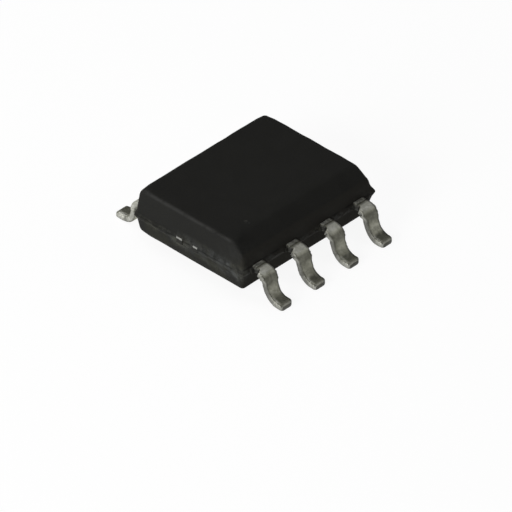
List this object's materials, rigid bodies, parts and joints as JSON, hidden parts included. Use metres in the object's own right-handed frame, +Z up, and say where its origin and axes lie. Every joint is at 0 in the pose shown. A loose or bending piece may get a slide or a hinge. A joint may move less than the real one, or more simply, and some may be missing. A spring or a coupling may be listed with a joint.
{
  "type": "operational amplifier",
  "caption": "Small-outline surface-mount operational amplifier: a bevelled, drafted black moulding on two rows of gull-wing leads, with paddle, die and bond wires inside.",
  "frame": {"origin": "centre of the footprint on the seating plane, under the feet of the leads", "axes": "+X along the rows of leads from lead 1 towards lead 4; +Y across the rows towards leads 5 to 8; +Z up, away from the circuit board"},
  "size_m": [0.005, 0.006, 0.0016],
  "materials": {
    "mould_compound": "matte black epoxy moulding compound",
    "plated_lead": "matte tin plate",
    "frame_metal": "stamped strip, cut ends bare",
    "die_adhesive": "silver-filled epoxy",
    "silicon": "polished silicon",
    "bond_wire": "bright drawn wire"
  },
  "bodies": {
    "root": {"package_body": "mould_compound", "lead_1": "plated_lead", "lead_2": "plated_lead", "lead_3": "plated_lead", "lead_4": "plated_lead", "lead_5": "plated_lead", "lead_6": "plated_lead", "lead_7": "plated_lead", "lead_8": "plated_lead", "die_paddle": "frame_metal", "die_attach": "die_adhesive", "silicon_die": "silicon", "bond_wire_1": "bond_wire", "bond_wire_2": "bond_wire", "bond_wire_3": "bond_wire", "bond_wire_4": "bond_wire", "bond_wire_5": "bond_wire", "bond_wire_6": "bond_wire", "bond_wire_7": "bond_wire", "bond_wire_8": "bond_wire"}
  },
  "joints": []
}
